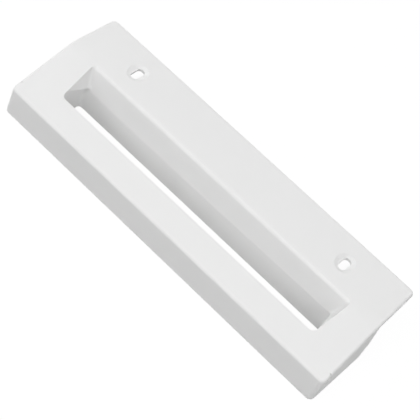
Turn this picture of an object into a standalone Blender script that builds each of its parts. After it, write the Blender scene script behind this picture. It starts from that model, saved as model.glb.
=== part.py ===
"""Refrigerator door handle, one injection moulding in white ABS.

A thin flange takes two screws on the edge of the door. From its crease the
grip slopes down to a front bar, with a finger slot right through between the
bar and the door. The grip is cored from its underside, with ribs across it.

Metres, +Z up. The origin lies on the back face of the flange, midway between
the two screw slots. +X runs along the handle, +Y towards the flange's free
edge, and the grip's front faces -Y.
"""

import math

import bmesh
import bpy
from mathutils import Matrix, Vector

# Overall sizes
LENGTH = 0.2211
FLANGE_DEPTH = 0.0349
FLANGE_WALL = 0.0025
GRIP_DEPTH = 0.0397
GRIP_HEIGHT = 0.0309
FRONT_HEIGHT = 0.0177
REAR_SETBACK = 0.0030

# The end faces spread a little from the front towards the door, lean in above
# the outer parting line, and run back in along the flange
END_FLARE = math.radians(0.9)
END_DRAFT = math.radians(3.2)
END_PARTING_DEPTH = 0.0170
FLANGE_TAPER = 0.0007
TAPER_START = 0.0080

# Roundings
CREASE_RADIUS = 0.020
FRONT_RADIUS = 0.0020
BASE_RADIUS = 0.0013
REAR_RADIUS = 0.0018
FLANGE_CORNER_RADIUS = 0.0030
EDGE_RADIUS = 0.0011

# The strip along the front of the grip's top is a little steeper than the rest
STRIP_WIDTH = 0.0060
STRIP_DROP = 0.0002

# Finger slot, drafted upwards above its ridge and downwards below it
SLOT_LENGTH = 0.1844
SLOT_WIDTH = 0.0242
SLOT_SETBACK = 0.0006
LIP_RADIUS = 0.0030
RIDGE_DEPTH = 0.0126
UPPER_END_DRAFT = math.radians(20)
UPPER_REAR_DRAFT = math.radians(16)
PARTING_TILT = math.radians(17.8)
LOWER_LENGTH = 0.1818
LOWER_END_DRAFT = math.radians(3.2)
LOWER_REAR_DRAFT = math.radians(7.7)
LOWER_BAR_DRAFT = math.radians(3.0)
BAR_CORNER_RADIUS = 0.0032
REAR_CORNER_RADIUS = 0.0020

# Coring of the underside
WALL = 0.0028
RIB = 0.0016
BAR_POCKETS = 12
END_POCKETS = 2
POCKET_RADIUS = 0.0010
POCKET_STEPS = 2

# Screw slots, each in a shallow dish
SCREW_SPACING = 0.150
SCREW_ROW = 0.0166
SCREW_SLOT_WIDTH = 0.0045
SCREW_SLOT_LENGTH = 0.0093
SCREW_SLOT_RADIUS = 0.0021
DISH_WIDTH = 0.0110
DISH_LENGTH = 0.0140
DISH_DEPTH = 0.0008
DISH_WALL = 0.0024

# Notches where the moulding's parting line leaves the end faces
NOTCH_WIDTH = 0.0012
NOTCH_DEPTH = 0.0012

ARC_STEPS = 6
OVERSHOOT = 0.0040
CLEARANCE = 0.0003
WELD = 0.00001

ABS_WHITE = (0.80, 0.80, 0.79, 1.0)

# Where things lie
TOP_Z = FLANGE_WALL
BASE_Z = TOP_Z - GRIP_HEIGHT
CREASE_Y = -SCREW_ROW
FREE_EDGE_Y = CREASE_Y + FLANGE_DEPTH
FRONT_Y = CREASE_Y - GRIP_DEPTH
STRIP_Y = FRONT_Y + STRIP_WIDTH
FRONT_TOP_Z = BASE_Z + FRONT_HEIGHT
SLOPE = (TOP_Z - FRONT_TOP_Z - STRIP_DROP) / GRIP_DEPTH
REAR_Y = CREASE_Y + REAR_SETBACK
TAPER_Y = CREASE_Y + TAPER_START
END_PARTING_Z = TOP_Z - END_PARTING_DEPTH
SLOT_REAR_Y = CREASE_Y - SLOT_SETBACK
SLOT_BAR_Y = SLOT_REAR_Y - SLOT_WIDTH
RIDGE_Z = TOP_Z - RIDGE_DEPTH
RIDGE_Y = SLOT_REAR_Y - RIDGE_DEPTH * math.tan(UPPER_REAR_DRAFT)
BAR_BASE_Y = SLOT_BAR_Y - (RIDGE_Z - BASE_Z) * math.tan(LOWER_BAR_DRAFT)


def slope_z(y):
    """Height of the grip's sloping top at y."""
    return TOP_Z - (CREASE_Y - y) * SLOPE


def rounded(corners):
    """The outline through (x, y, radius) corners, each rounded by an arc."""
    outline = []
    for index, (x, y, radius) in enumerate(corners):
        corner = Vector((x, y))
        if radius == 0:
            outline.append(corner)
            continue
        last = Vector(corners[index - 1][:2]) - corner
        following = Vector(corners[(index + 1) % len(corners)][:2]) - corner
        half_angle = last.angle(following) / 2
        bisector = (last.normalized() + following.normalized()).normalized()
        middle = corner + bisector * radius / math.sin(half_angle)
        start = corner + last.normalized() * radius / math.tan(half_angle) - middle
        turn = math.copysign(math.pi - 2 * half_angle, following.cross(last))
        for step in range(ARC_STEPS + 1):
            outline.append(middle + Matrix.Rotation(turn * step / ARC_STEPS, 2) @ start)
    return outline


def new_collection(name):
    collection = bpy.data.collections.new(name)
    bpy.context.scene.collection.children.link(collection)
    return collection


def prism(name, outline, thickness, axis, collection):
    """A mesh object: the outline in the plane across the axis, drawn out evenly both ways."""
    curve = bpy.data.curves.new(name, "CURVE")
    curve.dimensions = "2D"
    curve.fill_mode = "BOTH"
    curve.extrude = thickness / 2
    spline = curve.splines.new("POLY")
    spline.points.add(len(outline) - 1)
    for point, place in zip(spline.points, outline):
        point.co = (place[0], place[1], 0, 1)
    spline.use_cyclic_u = True
    drawn = bpy.data.objects.new(name, curve)
    collection.objects.link(drawn)
    mesh = bpy.data.meshes.new_from_object(drawn.evaluated_get(bpy.context.evaluated_depsgraph_get()))
    bpy.data.objects.remove(drawn)
    bpy.data.curves.remove(curve)
    if axis == "X":
        mesh.transform(Matrix(((0, 0, 1, 0), (1, 0, 0, 0), (0, 1, 0, 0), (0, 0, 0, 1))))
    shape = bmesh.new()
    shape.from_mesh(mesh)
    bmesh.ops.remove_doubles(shape, verts=shape.verts, dist=WELD)
    bmesh.ops.dissolve_limit(
        shape, angle_limit=math.radians(0.2), verts=shape.verts, edges=shape.edges)
    bmesh.ops.recalc_face_normals(shape, faces=shape.faces)
    shape.to_mesh(mesh)
    shape.free()
    solid = bpy.data.objects.new(name, mesh)
    collection.objects.link(solid)
    return solid


def draft_ends(solid, level, draft):
    """Leans the two ends outwards going up, turning about their lines at level."""
    for vertex in solid.data.vertices:
        lean = (vertex.co.z - level) * math.tan(draft)
        vertex.co.x += lean if vertex.co.x > 0 else -lean


def weigh_edges(solid, weight_of):
    """Gives each edge the bevel weight that weight_of returns for its two ends."""
    weights = solid.data.attributes.new("bevel_weight_edge", "FLOAT", "EDGE")
    for edge in solid.data.edges:
        ends = [solid.data.vertices[index].co for index in edge.vertices]
        weights.data[edge.index].value = weight_of(*ends)


def add_bevel(solid, name, width, limit, angle=0.0):
    bevel = solid.modifiers.new(name, "BEVEL")
    bevel.width = width
    bevel.segments = ARC_STEPS
    bevel.limit_method = limit
    bevel.angle_limit = angle
    bevel.use_clamp_overlap = False
    return bevel


def cut(solid, name, cutters):
    boolean = solid.modifiers.new(name, "BOOLEAN")
    boolean.operand_type = "COLLECTION"
    boolean.collection = cutters


for leftover in list(bpy.data.objects):
    bpy.data.objects.remove(leftover)

handle_parts = new_collection("refrigerator_door_handle")
slot_cutters = new_collection("slot_cutters")
pocket_cutters = new_collection("pocket_cutters")
detail_cutters = new_collection("detail_cutters")

# Outer form: one section along the whole length, from the flange's free edge
# over the crease and down the slope to the front, then round the base and up
# the rear wall, which lies against the door
section = rounded([
    (FREE_EDGE_Y, TOP_Z, 0),
    (CREASE_Y, TOP_Z, CREASE_RADIUS),
    (STRIP_Y, slope_z(STRIP_Y), 0),
    (FRONT_Y, FRONT_TOP_Z, FRONT_RADIUS),
    (FRONT_Y, BASE_Z, BASE_RADIUS),
    (REAR_Y, BASE_Z, REAR_RADIUS),
    (REAR_Y, 0, 0),
    (FREE_EDGE_Y, 0, 0),
])
body = prism("handle_body", section, LENGTH, "X", handle_parts)
shape = bmesh.new()
shape.from_mesh(body.data)
for place, normal in (((0, TAPER_Y, 0), (0, 1, 0)), ((0, 0, END_PARTING_Z), (0, 0, 1))):
    bmesh.ops.bisect_plane(
        shape, geom=[*shape.verts, *shape.edges, *shape.faces],
        plane_co=place, plane_no=normal, dist=WELD)
for vertex in shape.verts:
    flare = (vertex.co.y - FRONT_Y) * math.tan(END_FLARE)
    taper = FLANGE_TAPER * max(vertex.co.y - TAPER_Y, 0) / (FREE_EDGE_Y - TAPER_Y)
    draft = max(vertex.co.z - END_PARTING_Z, 0) * math.tan(END_DRAFT)
    outwards = flare - taper - draft
    vertex.co.x += outwards if vertex.co.x > 0 else -outwards
shape.to_mesh(body.data)
shape.free()
weigh_edges(
    body,
    lambda a, b: float(min(a.y, b.y) > FREE_EDGE_Y - WELD and abs(a.x - b.x) < FLANGE_WALL))
add_bevel(body, "flange_corners", FLANGE_CORNER_RADIUS, "WEIGHT")
add_bevel(body, "edges", EDGE_RADIUS, "ANGLE", math.radians(50))

# Finger slot above its ridge: a funnel with a rounded lip along the crease
lip_reach = LIP_RADIUS / math.tan((math.pi / 2 + UPPER_REAR_DRAFT) / 2)
lip_middle = Vector((SLOT_REAR_Y + lip_reach, TOP_Z - LIP_RADIUS))
lip = [
    lip_middle + LIP_RADIUS * Vector((-math.sin(angle), math.cos(angle)))
    for angle in (
        (math.pi / 2 - UPPER_REAR_DRAFT) * step / ARC_STEPS for step in range(ARC_STEPS + 1))
]
funnel_foot = RIDGE_Z - OVERSHOOT


def funnel_bar_y(z):
    """The funnel's drafted side towards the bar, just inside the slot's bar wall."""
    depth = slope_z(SLOT_BAR_Y) - z
    return SLOT_BAR_Y + CLEARANCE + depth * math.tan(UPPER_REAR_DRAFT)


funnel = prism(
    "slot_funnel",
    [
        (lip[0].x, TOP_Z + OVERSHOOT),
        *lip,
        (SLOT_REAR_Y - (TOP_Z - funnel_foot) * math.tan(UPPER_REAR_DRAFT), funnel_foot),
        (funnel_bar_y(funnel_foot), funnel_foot),
        (funnel_bar_y(TOP_Z + OVERSHOOT), TOP_Z + OVERSHOOT),
    ],
    SLOT_LENGTH, "X", slot_cutters)
draft_ends(funnel, TOP_Z, UPPER_END_DRAFT)

# Finger slot below its ridge, opening downwards from the tilted parting face
lower_foot = BASE_Z - OVERSHOOT
lower = prism(
    "slot_lower",
    [
        (RIDGE_Y - CLEARANCE * math.tan(LOWER_REAR_DRAFT), RIDGE_Z + CLEARANCE),
        (SLOT_BAR_Y, RIDGE_Z + (RIDGE_Y - SLOT_BAR_Y) * math.tan(PARTING_TILT)),
        (SLOT_BAR_Y, RIDGE_Z),
        (SLOT_BAR_Y - (RIDGE_Z - lower_foot) * math.tan(LOWER_BAR_DRAFT), lower_foot),
        (RIDGE_Y + (RIDGE_Z - lower_foot) * math.tan(LOWER_REAR_DRAFT), lower_foot),
    ],
    LOWER_LENGTH, "X", slot_cutters)
draft_ends(lower, BASE_Z, -LOWER_END_DRAFT)


def corner_weight(a, b):
    """Full weight for the slot's two corners at the bar, less for the two at the rear."""
    if a.x * b.x < 0 or abs(a.z - b.z) < WELD or abs(a.y - b.y) > RIDGE_DEPTH:
        return 0.0
    if a.y < (SLOT_REAR_Y + SLOT_BAR_Y) / 2:
        return 1.0
    return REAR_CORNER_RADIUS / BAR_CORNER_RADIUS


for cutter in (funnel, lower):
    weigh_edges(cutter, corner_weight)
    add_bevel(cutter, "corners", BAR_CORNER_RADIUS, "WEIGHT")


def add_pocket(name, x_low, x_high, y_low, y_high):
    """A core that leaves WALL of thickness under the sloping top."""
    roof = WALL * math.hypot(1, SLOPE)
    pocket = prism(
        name,
        [
            (y_low, BASE_Z - OVERSHOOT),
            (y_low, slope_z(y_low) - roof),
            (y_high, slope_z(y_high) - roof),
            (y_high, BASE_Z - OVERSHOOT),
        ],
        x_high - x_low, "X", pocket_cutters)
    pocket.data.transform(Matrix.Translation(((x_low + x_high) / 2, 0, 0)))
    weigh_edges(pocket, lambda a, b: float(abs(a.z - b.z) > GRIP_HEIGHT / 4))
    add_bevel(pocket, "corners", POCKET_RADIUS, "WEIGHT").segments = POCKET_STEPS


# Pockets along the bar, with a rib between each two
bar_start = WALL - LENGTH / 2
bar_pitch = (LENGTH - 2 * WALL + RIB) / BAR_POCKETS
for index in range(BAR_POCKETS):
    pocket_start = bar_start + index * bar_pitch
    add_pocket(
        f"bar_pocket_{index + 1}",
        pocket_start, pocket_start + bar_pitch - RIB,
        FRONT_Y + WALL, BAR_BASE_Y - WALL)

# Pockets in the two ends, beside the slot
end_depth = REAR_Y - WALL - BAR_BASE_Y
end_pitch = (end_depth + RIB) / END_POCKETS
for side in (-1, 1):
    for index in range(END_POCKETS):
        inner = side * (LOWER_LENGTH / 2 + WALL)
        outer = side * (LENGTH / 2 - WALL)
        pocket_start = BAR_BASE_Y + index * end_pitch
        add_pocket(
            f"end_pocket_{index + 1}_{'left' if side < 0 else 'right'}",
            min(inner, outer), max(inner, outer),
            pocket_start, pocket_start + end_pitch - RIB)

# Screw slots through the flange, their long way across the handle
for side in (-1, 1):
    place = Vector((side * SCREW_SPACING / 2, 0, 0))
    half_width = SCREW_SLOT_WIDTH / 2
    half_length = SCREW_SLOT_LENGTH / 2
    screw_slot = prism(
        "screw_slot",
        rounded([
            (half_width, half_length, SCREW_SLOT_RADIUS),
            (-half_width, half_length, SCREW_SLOT_RADIUS),
            (-half_width, -half_length, SCREW_SLOT_RADIUS),
            (half_width, -half_length, SCREW_SLOT_RADIUS),
        ]),
        4 * FLANGE_WALL, "Z", detail_cutters)
    screw_slot.data.transform(Matrix.Translation(place))
    dish = bpy.data.meshes.new("screw_dish")
    shape = bmesh.new()
    bmesh.ops.create_cone(
        shape, segments=32, cap_ends=True,
        radius1=DISH_WIDTH / 2 - DISH_WALL,
        radius2=DISH_WIDTH / 2 + OVERSHOOT,
        depth=DISH_DEPTH * (1 + OVERSHOOT / DISH_WALL),
        matrix=Matrix.Translation((0, 0, DISH_DEPTH * (OVERSHOOT / DISH_WALL - 1) / 2)))
    shape.to_mesh(dish)
    shape.free()
    stretch = Matrix.Diagonal((1, DISH_LENGTH / DISH_WIDTH, 1, 1))
    dish.transform(Matrix.Translation(place + Vector((0, 0, TOP_Z))) @ stretch)
    detail_cutters.objects.link(bpy.data.objects.new("screw_dish", dish))

# Notches in the end faces at the parting line
notch_reach = NOTCH_WIDTH / 2 * (OVERSHOOT + NOTCH_DEPTH) / NOTCH_DEPTH
for side in (-1, 1):
    notch = prism(
        "parting_notch",
        [
            (side * (LENGTH / 2 - NOTCH_DEPTH), STRIP_Y),
            (side * (LENGTH / 2 + OVERSHOOT), STRIP_Y - notch_reach),
            (side * (LENGTH / 2 + OVERSHOOT), STRIP_Y + notch_reach),
        ],
        GRIP_HEIGHT / 2, "Z", detail_cutters)
    notch.data.transform(Matrix.Translation((0, 0, FRONT_TOP_Z)))

for cutters in (slot_cutters, pocket_cutters, detail_cutters):
    for cutter in cutters.objects:
        cutter.hide_render = True
        cutter.display_type = "WIRE"
    cut(body, cutters.name, cutters)

# The finished moulding, shaded smooth over its roundings
bpy.context.view_layer.update()
moulding = bpy.data.meshes.new_from_object(
    body.evaluated_get(bpy.context.evaluated_depsgraph_get()))
body.modifiers.clear()
body.data = moulding
moulding.shade_smooth()
moulding.set_sharp_from_angle(angle=math.radians(20))

abs_plastic = bpy.data.materials.new("white_abs")
abs_plastic.use_nodes = True
shader = abs_plastic.node_tree.nodes["Principled BSDF"]
shader.inputs["Base Color"].default_value = ABS_WHITE
shader.inputs["Roughness"].default_value = 0.35
shader.inputs["Metallic"].default_value = 0.0
moulding.materials.clear()
moulding.materials.append(abs_plastic)
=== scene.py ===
import math

import bmesh
import bpy
from mathutils import Euler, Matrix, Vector


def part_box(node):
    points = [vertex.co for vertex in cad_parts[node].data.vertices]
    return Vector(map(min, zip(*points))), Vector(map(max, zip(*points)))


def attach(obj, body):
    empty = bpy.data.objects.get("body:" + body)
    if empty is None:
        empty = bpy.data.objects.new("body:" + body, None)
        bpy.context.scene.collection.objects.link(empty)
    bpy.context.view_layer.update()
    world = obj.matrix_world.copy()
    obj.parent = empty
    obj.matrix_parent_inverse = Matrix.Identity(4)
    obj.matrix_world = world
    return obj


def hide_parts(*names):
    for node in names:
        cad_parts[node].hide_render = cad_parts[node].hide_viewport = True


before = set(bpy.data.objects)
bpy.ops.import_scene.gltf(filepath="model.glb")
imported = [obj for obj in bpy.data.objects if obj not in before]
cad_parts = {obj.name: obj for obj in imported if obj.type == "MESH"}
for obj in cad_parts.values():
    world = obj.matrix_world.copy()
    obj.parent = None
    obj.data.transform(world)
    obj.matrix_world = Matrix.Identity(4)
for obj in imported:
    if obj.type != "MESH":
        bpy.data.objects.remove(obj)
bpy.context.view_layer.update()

# The moulding: the handle is one piece of white ABS, flange, grip and front
# bar together, shot in a polished mould and cored from below. It is fixed by
# two screws through the flange.
MOULDING_NODE = "handle_body"
low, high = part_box(MOULDING_NODE)
FRONT_Y = low.y
FREE_EDGE_Y = high.y
BASE_Z = low.z
TOP_Z = high.z
LENGTH = 0.2211
CREASE_Y = -0.0166
REAR_Y = -0.0136
FRONT_TOP_Z = -0.0107
STRIP_Y = -0.0503
STRIP_DROP = 0.0002
SLOPE = (TOP_Z - FRONT_TOP_Z - STRIP_DROP) / (CREASE_Y - FRONT_Y)

# The end faces spread towards the door, lean in above the outer parting line,
# and run back in along the flange.
END_FLARE = math.radians(0.9)
END_DRAFT = math.radians(3.2)
END_PARTING_Z = -0.0145
FLANGE_TAPER = 0.0007
TAPER_Y = -0.0086

# The roundings of the crease, of the four upright corners, and of the edges.
# The top edge has one rounding of even width all the way round.
CREASE_RADIUS = 0.020
GRIP_CORNER_RADIUS = 0.0030
FLANGE_CORNER_RADIUS = 0.0030
TOP_EDGE_RADIUS = 0.0013
EDGE_RADIUS = 0.0011
ROUND_STEPS = 6
SHARP_TURN = 50
CREASE_TURN = 10
TOP_DROP = 0.0005
UPRIGHT_LEAN = 0.0025
TINY = 0.00001
ROW_DIGITS = 7


def slope_z(y):
    """Height of the grip's sloping top at y."""
    return TOP_Z - (CREASE_Y - y) * SLOPE


def on_top(place):
    """Whether a place lies on the moulding's top, crease and strip included."""
    return place.z > min(TOP_Z, slope_z(place.y)) - TOP_DROP


def take_up(solid):
    """Makes the solid the only one that is selected, and the active one."""
    bpy.ops.object.select_all(action="DESELECT")
    solid.select_set(True)
    bpy.context.view_layer.objects.active = solid


def draw_solid(name, section, half_length):
    """A closed solid: the (y, z) section drawn point by point, filled, and extruded along X."""
    points = [Vector((-half_length, y, z)) for y, z in section]
    bpy.ops.object.select_all(action="DESELECT")
    bpy.ops.mesh.primitive_plane_add(size=TINY, location=points[0])
    solid = bpy.context.object
    solid.name = name
    bpy.ops.object.transform_apply(location=True, rotation=False, scale=False)
    bpy.ops.object.mode_set(mode="EDIT")
    bpy.ops.mesh.select_mode(type="VERT")
    bpy.ops.mesh.select_all(action="SELECT")
    bpy.ops.mesh.merge(type="CENTER")
    for start, end in zip(points, points[1:] + points[:1]):
        bpy.ops.mesh.extrude_vertices_move(TRANSFORM_OT_translate={"value": end - start})
    bpy.ops.mesh.select_all(action="SELECT")
    bpy.ops.mesh.remove_doubles(threshold=TINY)
    bpy.ops.mesh.select_all(action="SELECT")
    bpy.ops.mesh.edge_face_add()
    bpy.ops.mesh.extrude_region_move(
        TRANSFORM_OT_translate={"value": (2 * half_length, 0, 0)})
    bpy.ops.mesh.select_all(action="SELECT")
    bpy.ops.mesh.normals_make_consistent(inside=False)
    bpy.ops.object.mode_set(mode="OBJECT")
    return solid


def split_level(solid, place, normal):
    """Cuts an edge loop round the solid where a plane crosses it."""
    take_up(solid)
    bpy.ops.object.mode_set(mode="EDIT")
    bpy.ops.mesh.select_all(action="SELECT")
    bpy.ops.mesh.bisect(plane_co=place, plane_no=normal)
    bpy.ops.object.mode_set(mode="OBJECT")


def set_reach(solid, half_length, reach_of):
    """Scales each row of points along X, so that it ends at plus and minus reach_of(y, z)."""
    take_up(solid)
    bpy.ops.object.mode_set(mode="EDIT")
    bpy.ops.mesh.select_mode(type="VERT")
    shape = bmesh.from_edit_mesh(solid.data)
    rows = sorted(
        {(round(vertex.co.y, ROW_DIGITS), round(vertex.co.z, ROW_DIGITS))
         for vertex in shape.verts})
    for y, z in rows:
        bpy.ops.mesh.select_all(action="DESELECT")
        shape = bmesh.from_edit_mesh(solid.data)
        for vertex in shape.verts:
            vertex.select_set(abs(vertex.co.y - y) + abs(vertex.co.z - z) < TINY / 5)
        shape.select_flush_mode()
        bpy.ops.transform.resize(
            value=(reach_of(y, z) / half_length, 1, 1), center_override=(0, 0, 0))
    bpy.ops.object.mode_set(mode="OBJECT")


def round_edges(solid, wanted, offset, steps):
    """Bevels the edges whose ends a and b and whose turn in degrees make wanted true."""
    take_up(solid)
    bpy.ops.object.mode_set(mode="EDIT")
    bpy.ops.mesh.select_mode(type="EDGE")
    bpy.ops.mesh.select_all(action="DESELECT")
    shape = bmesh.from_edit_mesh(solid.data)
    for edge in shape.edges:
        turn = math.degrees(edge.calc_face_angle(0))
        edge.select_set(wanted(edge.verts[0].co, edge.verts[1].co, turn))
    bmesh.update_edit_mesh(solid.data)
    bpy.ops.mesh.bevel(
        offset_type="OFFSET", offset=offset, segments=steps, clamp_overlap=False)
    bpy.ops.object.mode_set(mode="OBJECT")


def end_reach(y, z):
    """Half the moulding's length at a point of its end faces."""
    flare = (y - FRONT_Y) * math.tan(END_FLARE)
    taper = FLANGE_TAPER * max(y - TAPER_Y, 0) / (FREE_EDGE_Y - TAPER_Y)
    draft = max(z - END_PARTING_Z, 0) * math.tan(END_DRAFT)
    return LENGTH / 2 + flare - taper - draft


moulding = draw_solid(
    "handle_moulding",
    [
        (FREE_EDGE_Y, TOP_Z),
        (CREASE_Y, TOP_Z),
        (STRIP_Y, slope_z(STRIP_Y)),
        (FRONT_Y, FRONT_TOP_Z),
        (FRONT_Y, BASE_Z),
        (REAR_Y, BASE_Z),
        (REAR_Y, 0),
        (FREE_EDGE_Y, 0),
    ],
    LENGTH / 2)
round_edges(
    moulding,
    lambda a, b, turn: turn > CREASE_TURN and abs(a.y - CREASE_Y) + abs(b.y - CREASE_Y) < TINY,
    CREASE_RADIUS * math.tan(math.atan(SLOPE) / 2), ROUND_STEPS)
split_level(moulding, (0, TAPER_Y, 0), (0, 1, 0))
split_level(moulding, (0, 0, END_PARTING_Z), (0, 0, 1))
set_reach(moulding, LENGTH / 2, end_reach)
round_edges(
    moulding,
    lambda a, b, turn: max(a.y, b.y) < FRONT_Y + TINY and abs(a.x - b.x) < UPRIGHT_LEAN,
    GRIP_CORNER_RADIUS, ROUND_STEPS)
round_edges(
    moulding,
    lambda a, b, turn: min(a.y, b.y) > FREE_EDGE_Y - TINY and abs(a.x - b.x) < UPRIGHT_LEAN,
    FLANGE_CORNER_RADIUS, ROUND_STEPS)
round_edges(
    moulding, lambda a, b, turn: turn > SHARP_TURN and on_top(a) and on_top(b),
    TOP_EDGE_RADIUS, ROUND_STEPS)
round_edges(moulding, lambda a, b, turn: turn > SHARP_TURN, EDGE_RADIUS, ROUND_STEPS)

# The finger slot: the mould's upper half leaves a drafted funnel with a rounded
# lip along the crease, and its lower half a box that opens downwards, with a rear
# wall that bends back. They meet on a ridge, and the four corners are rounded.
SLOT_HALF = 0.0922
SLOT_REAR_Y = -0.0172
SLOT_BAR_Y = -0.0414
SLOT_MIDDLE_Y = (SLOT_REAR_Y + SLOT_BAR_Y) / 2
LIP_RADIUS = 0.0030
RIDGE_Z = -0.0101
UPPER_END_DRAFT = math.radians(20)
UPPER_REAR_DRAFT = math.radians(16)
LOWER_HALF = 0.0909
LOWER_END_DRAFT = math.radians(3.2)
LOWER_REAR_DRAFT = math.radians(7.7)
LOWER_REAR_BEND = math.radians(13)
LOWER_BAR_DRAFT = math.radians(3.0)
PARTING_TILT = math.radians(17.8)
BAR_CORNER_RADIUS = 0.0032
REAR_CORNER_RADIUS = 0.0020
BEYOND = 0.0040
OVERLAP = 0.0003


def cut_away(solid, cutters):
    """Cuts the cutters out of the solid one by one, and removes them."""
    take_up(solid)
    for cutter in cutters:
        boolean = solid.modifiers.new("cut", "BOOLEAN")
        boolean.operation = "DIFFERENCE"
        boolean.object = cutter
        bpy.ops.object.modifier_apply(modifier="cut")
        bpy.data.objects.remove(cutter)


def funnel_bar_y(z):
    """The funnel's drafted side towards the bar, just inside the slot's bar wall."""
    return SLOT_BAR_Y + OVERLAP + (slope_z(SLOT_BAR_Y) - z) * math.tan(UPPER_REAR_DRAFT)


lip_y = SLOT_REAR_Y + LIP_RADIUS / math.tan((math.pi / 2 + UPPER_REAR_DRAFT) / 2)
lip_turns = [
    (math.pi / 2 - UPPER_REAR_DRAFT) * step / ROUND_STEPS for step in range(ROUND_STEPS + 1)
]
funnel_foot = RIDGE_Z - BEYOND
funnel_rear_y = SLOT_REAR_Y - (TOP_Z - funnel_foot) * math.tan(UPPER_REAR_DRAFT)
funnel = draw_solid(
    "slot_funnel",
    [
        (lip_y, TOP_Z + BEYOND),
        *((lip_y - LIP_RADIUS * math.sin(turn), TOP_Z - LIP_RADIUS * (1 - math.cos(turn)))
          for turn in lip_turns),
        (funnel_rear_y, funnel_foot),
        (funnel_bar_y(funnel_foot), funnel_foot),
        (funnel_bar_y(TOP_Z + BEYOND), TOP_Z + BEYOND),
    ],
    SLOT_HALF)
set_reach(
    funnel, SLOT_HALF, lambda y, z: SLOT_HALF + (z - TOP_Z) * math.tan(UPPER_END_DRAFT))

ridge_y = SLOT_REAR_Y - (TOP_Z - RIDGE_Z) * math.tan(UPPER_REAR_DRAFT)
lower_foot = BASE_Z - BEYOND
bend_chord = (RIDGE_Z - BASE_Z) / math.cos(LOWER_REAR_DRAFT)
bend_radius = bend_chord / 2 / math.sin(LOWER_REAR_BEND / 2)
bend_middle_y = ridge_y + bend_radius * math.cos(LOWER_REAR_DRAFT - LOWER_REAR_BEND / 2)
bend_middle_z = RIDGE_Z + bend_radius * math.sin(LOWER_REAR_DRAFT - LOWER_REAR_BEND / 2)
bend_leans = [
    LOWER_REAR_DRAFT + LOWER_REAR_BEND * (0.5 - step / ROUND_STEPS)
    for step in range(ROUND_STEPS + 1)
]
lower = draw_solid(
    "slot_lower",
    [
        (ridge_y - OVERLAP * math.tan(LOWER_REAR_DRAFT), RIDGE_Z + OVERLAP),
        (SLOT_BAR_Y, RIDGE_Z + (ridge_y - SLOT_BAR_Y) * math.tan(PARTING_TILT)),
        (SLOT_BAR_Y, RIDGE_Z),
        (SLOT_BAR_Y - (RIDGE_Z - lower_foot) * math.tan(LOWER_BAR_DRAFT), lower_foot),
        (ridge_y + (RIDGE_Z - BASE_Z) * math.tan(LOWER_REAR_DRAFT)
         + BEYOND * math.tan(bend_leans[0]), lower_foot),
        *((bend_middle_y - bend_radius * math.cos(lean),
           bend_middle_z - bend_radius * math.sin(lean))
          for lean in bend_leans),
    ],
    LOWER_HALF)
set_reach(
    lower, LOWER_HALF, lambda y, z: LOWER_HALF - (z - BASE_Z) * math.tan(LOWER_END_DRAFT))


def slot_corner(a, b, turn):
    """Whether an edge stands upright at a corner of a slot cutter."""
    return a.x * b.x > 0 and turn > CREASE_TURN and abs(a.z - b.z) > TINY


for cutter in (funnel, lower):
    round_edges(
        cutter, lambda a, b, turn: slot_corner(a, b, turn) and max(a.y, b.y) < SLOT_MIDDLE_Y,
        BAR_CORNER_RADIUS, ROUND_STEPS)
    round_edges(
        cutter, lambda a, b, turn: slot_corner(a, b, turn) and min(a.y, b.y) > SLOT_MIDDLE_Y,
        REAR_CORNER_RADIUS, ROUND_STEPS)
cut_away(moulding, [funnel, lower])

# The coring: pockets from below keep the walls even, twelve along the bar with
# ribs between them, and two in each end. Each is a drawn core of its own size.
WALL = 0.0028
RIB = 0.0016
BAR_POCKETS = 12
END_POCKETS = 2
POCKET_RADIUS = 0.0010
POCKET_STEPS = 3
LEAST_POCKET_DEPTH = 0.0080
BAR_BASE_Y = SLOT_BAR_Y - (RIDGE_Z - BASE_Z) * math.tan(LOWER_BAR_DRAFT)


def draw_pocket(x_low, x_high, y_low, y_high):
    """A core that leaves WALL of thickness under the sloping top."""
    roof = WALL * math.hypot(1, SLOPE)
    pocket = draw_solid(
        "pocket",
        [
            (y_low, BASE_Z - BEYOND),
            (y_low, slope_z(y_low) - roof),
            (y_high, slope_z(y_high) - roof),
            (y_high, BASE_Z - BEYOND),
        ],
        (x_high - x_low) / 2)
    round_edges(
        pocket, lambda a, b, turn: abs(a.z - b.z) > LEAST_POCKET_DEPTH,
        POCKET_RADIUS, POCKET_STEPS)
    take_up(pocket)
    bpy.ops.transform.translate(value=((x_low + x_high) / 2, 0, 0))
    return pocket


bar_start = WALL - LENGTH / 2
bar_pitch = (LENGTH - 2 * WALL + RIB) / BAR_POCKETS
pockets = [
    draw_pocket(
        bar_start + index * bar_pitch, bar_start + (index + 1) * bar_pitch - RIB,
        FRONT_Y + WALL, BAR_BASE_Y - WALL)
    for index in range(BAR_POCKETS)
]
end_pitch = (REAR_Y - WALL - BAR_BASE_Y + RIB) / END_POCKETS
for side in (-1, 1):
    inner = side * (LOWER_HALF + WALL)
    outer = side * (LENGTH / 2 - WALL)
    for index in range(END_POCKETS):
        pocket_start = BAR_BASE_Y + index * end_pitch
        pockets.append(draw_pocket(
            min(inner, outer), max(inner, outer), pocket_start, pocket_start + end_pitch - RIB))
cut_away(moulding, pockets)

# The screw slots: two through the flange, their long way across the handle,
# each in a shallow oval dish for the screw's head. The dish is cut by a cone
# whose full width is at the flange's top.
SCREW_SPACING = 0.150
SCREW_SLOT_WIDTH = 0.0045
SCREW_SLOT_LENGTH = 0.0093
SCREW_SLOT_RADIUS = 0.0021
DISH_WIDTH = 0.0110
DISH_LENGTH = 0.0140
DISH_DEPTH = 0.0010
DISH_WALL = 0.0021
DISH_SIDES = 64

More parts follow.
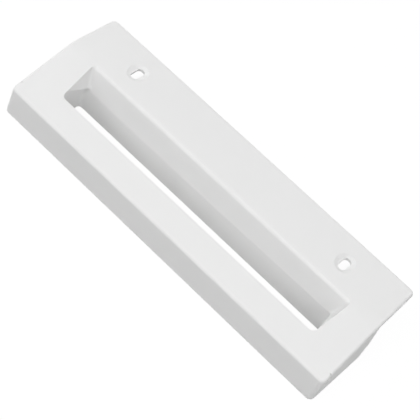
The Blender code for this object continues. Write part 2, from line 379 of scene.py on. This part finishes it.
for side in (-1, 1):
    place = Vector((side * SCREW_SPACING / 2, 0, 0))
    screw_slot = draw_solid(
        "screw_slot",
        [
            (-SCREW_SLOT_LENGTH / 2, -BEYOND),
            (SCREW_SLOT_LENGTH / 2, -BEYOND),
            (SCREW_SLOT_LENGTH / 2, BEYOND),
            (-SCREW_SLOT_LENGTH / 2, BEYOND),
        ],
        SCREW_SLOT_WIDTH / 2)
    round_edges(
        screw_slot, lambda a, b, turn: abs(a.z - b.z) > TINY, SCREW_SLOT_RADIUS, ROUND_STEPS)
    take_up(screw_slot)
    bpy.ops.transform.translate(value=place)
    bpy.ops.object.select_all(action="DESELECT")
    bpy.ops.mesh.primitive_cone_add(
        vertices=DISH_SIDES,
        radius1=DISH_WIDTH / 2 - DISH_WALL,
        radius2=DISH_WIDTH / 2 + BEYOND,
        depth=DISH_DEPTH * (1 + BEYOND / DISH_WALL),
        location=place + Vector((0, 0, TOP_Z + DISH_DEPTH * (BEYOND / DISH_WALL - 1) / 2)))
    dish = bpy.context.object
    bpy.ops.transform.resize(value=(1, DISH_LENGTH / DISH_WIDTH, 1), center_override=place)
    cut_away(moulding, [dish, screw_slot])

# The notches: one in each end face, where the moulding's parting line leaves
# it. Each is cut by the corner of an upright bar with four sides.
NOTCH_WIDTH = 0.0012
NOTCH_DEPTH = 0.0021
NOTCH_HEIGHT = 0.0154
NOTCH_SIDES = 4
NOTCH_MIDDLE = LENGTH / 2 + NOTCH_DEPTH

for side in (-1, 1):
    bpy.ops.object.select_all(action="DESELECT")
    bpy.ops.mesh.primitive_cylinder_add(
        vertices=NOTCH_SIDES, radius=1, depth=NOTCH_HEIGHT,
        location=(side * NOTCH_MIDDLE, STRIP_Y, FRONT_TOP_Z))
    notch = bpy.context.object
    bpy.ops.transform.resize(
        value=(2 * NOTCH_DEPTH, NOTCH_WIDTH, 1), center_override=notch.location)
    cut_away(moulding, [notch])

# The surface: points that the cuts left on one place are merged, and the
# roundings are shaded smooth, while the slot's rims stay sharp.
SMOOTH_ANGLE = math.radians(20)
take_up(moulding)
bpy.ops.object.mode_set(mode="EDIT")
bpy.ops.mesh.select_all(action="SELECT")
bpy.ops.mesh.remove_doubles(threshold=TINY / 10)
bpy.ops.object.mode_set(mode="OBJECT")
bpy.ops.object.shade_smooth_by_angle(angle=SMOOTH_ANGLE)
even_shade = moulding.modifiers.new("even_shade", "WEIGHTED_NORMAL")
even_shade.keep_sharp = True
bpy.ops.object.modifier_apply(modifier="even_shade")


def linear(hex_colour):
    """The linear colour of an sRGB hex value."""
    values = [int(hex_colour[index:index + 2], 16) / 255 for index in (1, 3, 5)]
    return [
        *(value / 12.92 if value <= 0.04045 else ((value + 0.055) / 1.055) ** 2.4
          for value in values),
        1.0,
    ]


def add_node(tree, kind, settings=None, links=None):
    """A node with its settings, and with links from other nodes' outputs to its inputs.

    An input is given by its name, or by its number where several share a name."""
    node = tree.nodes.new(kind)
    for name, value in (settings or {}).items():
        if isinstance(name, int) or name in node.inputs:
            node.inputs[name].default_value = value
        else:
            setattr(node, name, value)
    for name, output in (links or {}).items():
        tree.links.new(output, node.inputs[name])
    return node


# White ABS, injection moulded against a polished mould: a satin whose sheen
# drifts in patches of 6 mm, on a white that warms a little in clouds of 110 mm,
# where the plastic flowed last, and lets light 2 mm under its skin.
WHITE_FRESH = "#f8f8f8"
WHITE_WARM = "#f6f6f5"
CLOUD_SIZE = 0.110
CLOUD_DETAIL = 2.0
CLOUD_ROUGHNESS = 0.4
SHEEN_PATCH_SIZE = 0.006
SHEEN_DETAIL = 3.0
SHEEN_FROM = 0.3
SHEEN_TO = 0.7
SATIN_LEAST = 0.48
SATIN_MOST = 0.56
ABS_IOR = 1.54
SKIN_SHARE = 0.4
SKIN_DEPTH = 0.002

# Its orange peel is finer than the render shows, so it is drawn at 2.4 mm.
PEEL_SIZE = 0.0024
PEEL_DETAIL = 1.0
PEEL_HEIGHT = 0.0002
PEEL_STRENGTH = 0.05
abs_white = bpy.data.materials.new("white_abs_moulded")
abs_white.use_nodes = True
tree = abs_white.node_tree
tree.nodes.clear()
coordinates = add_node(tree, "ShaderNodeTexCoord")
cloud = add_node(
    tree, "ShaderNodeTexNoise",
    {"Scale": 1 / CLOUD_SIZE, "Detail": CLOUD_DETAIL, "Roughness": CLOUD_ROUGHNESS},
    {"Vector": coordinates.outputs["Object"]})
tint = add_node(
    tree, "ShaderNodeMix",
    {"data_type": "RGBA", 6: linear(WHITE_FRESH), 7: linear(WHITE_WARM)},
    {0: cloud.outputs["Fac"]})
patch = add_node(
    tree, "ShaderNodeTexNoise", {"Scale": 1 / SHEEN_PATCH_SIZE, "Detail": SHEEN_DETAIL},
    {"Vector": coordinates.outputs["Object"]})
satin = add_node(
    tree, "ShaderNodeMapRange",
    {
        "From Min": SHEEN_FROM,
        "From Max": SHEEN_TO,
        "To Min": SATIN_LEAST,
        "To Max": SATIN_MOST,
    },
    {"Value": patch.outputs["Fac"]})
peel = add_node(
    tree, "ShaderNodeTexNoise", {"Scale": 1 / PEEL_SIZE, "Detail": PEEL_DETAIL},
    {"Vector": coordinates.outputs["Object"]})
skin = add_node(
    tree, "ShaderNodeBump", {"Strength": PEEL_STRENGTH, "Distance": PEEL_HEIGHT},
    {"Height": peel.outputs["Fac"]})
shader = add_node(
    tree, "ShaderNodeBsdfPrincipled",
    {
        "IOR": ABS_IOR,
        "Subsurface Weight": SKIN_SHARE,
        "Subsurface Radius": (1.0, 1.0, 1.0),
        "Subsurface Scale": SKIN_DEPTH,
    },
    {
        "Base Color": tint.outputs[2],
        "Roughness": satin.outputs["Result"],
        "Normal": skin.outputs["Normal"],
    })
add_node(tree, "ShaderNodeOutputMaterial", links={"Surface": shader.outputs["BSDF"]})

moulding.data.materials.clear()
moulding.data.materials.append(abs_white)
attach(moulding, "root")
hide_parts(MOULDING_NODE)

# The floor: a plain white sheet under the handle. Seen straight, in a gloss or
# through glass it is white paper; FLOOR_GLOW is less than all of it, so that
# the handle's soft shadow stays on it. To the light it is a pale grey.
FLOOR_SIZE = 6.0
FLOOR_GAP = 0.0002
FLOOR_GLOW = 0.88
FLOOR_WHITE = 1.09
FLOOR_GREY = "#bcbcbc"
bpy.ops.object.select_all(action="DESELECT")
bpy.ops.mesh.primitive_plane_add(size=FLOOR_SIZE, location=(0, 0, BASE_Z - FLOOR_GAP))
floor = bpy.context.object
floor.name = "floor"


def looking_rays(tree):
    """1 for the rays that show a surface: from the camera, off a gloss or through glass."""
    ray = add_node(tree, "ShaderNodeLightPath")
    straight = add_node(
        tree, "ShaderNodeMath", {"operation": "MAXIMUM"},
        {0: ray.outputs["Is Camera Ray"], 1: ray.outputs["Is Glossy Ray"]})
    every = add_node(
        tree, "ShaderNodeMath", {"operation": "MAXIMUM"},
        {0: straight.outputs[0], 1: ray.outputs["Is Transmission Ray"]})
    return every.outputs[0]


paper = bpy.data.materials.new("white_paper")
paper.use_nodes = True
tree = paper.node_tree
tree.nodes.clear()
share = add_node(
    tree, "ShaderNodeMath", {"operation": "MULTIPLY", 1: FLOOR_GLOW}, {0: looking_rays(tree)})
matt = add_node(tree, "ShaderNodeBsdfDiffuse", {"Color": linear(FLOOR_GREY)})
glow = add_node(
    tree, "ShaderNodeEmission", {"Color": linear("#ffffff"), "Strength": FLOOR_WHITE})
blend = add_node(
    tree, "ShaderNodeMixShader",
    links={0: share.outputs[0], 1: matt.outputs[0], 2: glow.outputs[0]})
add_node(tree, "ShaderNodeOutputMaterial", links={"Surface": blend.outputs[0]})
floor.data.materials.append(paper)

# The light: a dim room, white where it is seen or reflected, and six soft disk
# lamps round the handle, given by azimuth, elevation and watts. Some stand low
# enough to light the slot's walls.
ROOM_LIGHT = 0.01
ROOM_WHITE = 1.0
LAMP_DISTANCE = 1.1
LAMP_SIZE = 0.8
LAMPS = {
    "front_high": (0, 58, 4.9),
    "front_right_low": (60, 30, 3.7),
    "front_left_low": (300, 30, 4.0),
    "back_left_low": (240, 30, 1.3),
    "back_low": (180, 30, 1.8),
    "back_high": (180, 58, 1.5),
}
room = bpy.data.worlds.new("room")
bpy.context.scene.world = room
room.use_nodes = True
tree = room.node_tree
tree.nodes.clear()
strength = add_node(
    tree, "ShaderNodeMapRange", {"To Min": ROOM_LIGHT, "To Max": ROOM_WHITE},
    {"Value": looking_rays(tree)})
air = add_node(
    tree, "ShaderNodeBackground", {"Color": linear("#ffffff")},
    {"Strength": strength.outputs["Result"]})
add_node(tree, "ShaderNodeOutputWorld", links={"Surface": air.outputs[0]})

for name, (azimuth, elevation, watts) in LAMPS.items():
    turn = Euler((math.radians(90 - elevation), 0, math.radians(azimuth)))
    bpy.ops.object.light_add(
        type="AREA", location=turn.to_matrix() @ Vector((0, 0, LAMP_DISTANCE)), rotation=turn)
    lamp = bpy.context.object
    lamp.name = name
    lamp.data.shape = "DISK"
    lamp.data.size = LAMP_SIZE
    lamp.data.energy = watts

# The camera stands where the photograph's perspective puts it, above the
# grip's front at the handle's right end.
CAMERA_PLACE = (0.15438, -0.45126, 0.47883)
CAMERA_TURN = (38.969, -19.046, 41.118)
LENS_MM = 111.12
SENSOR_MM = 36.0
NEAREST_SEEN = 0.01
bpy.ops.object.camera_add(
    location=CAMERA_PLACE, rotation=Euler([math.radians(angle) for angle in CAMERA_TURN]))
camera = bpy.context.object
camera.data.sensor_width = SENSOR_MM
camera.data.lens = LENS_MM
camera.data.clip_start = NEAREST_SEEN
bpy.context.scene.camera = camera

bpy.context.scene.view_settings.view_transform = "Standard"

bpy.context.view_layer.update()
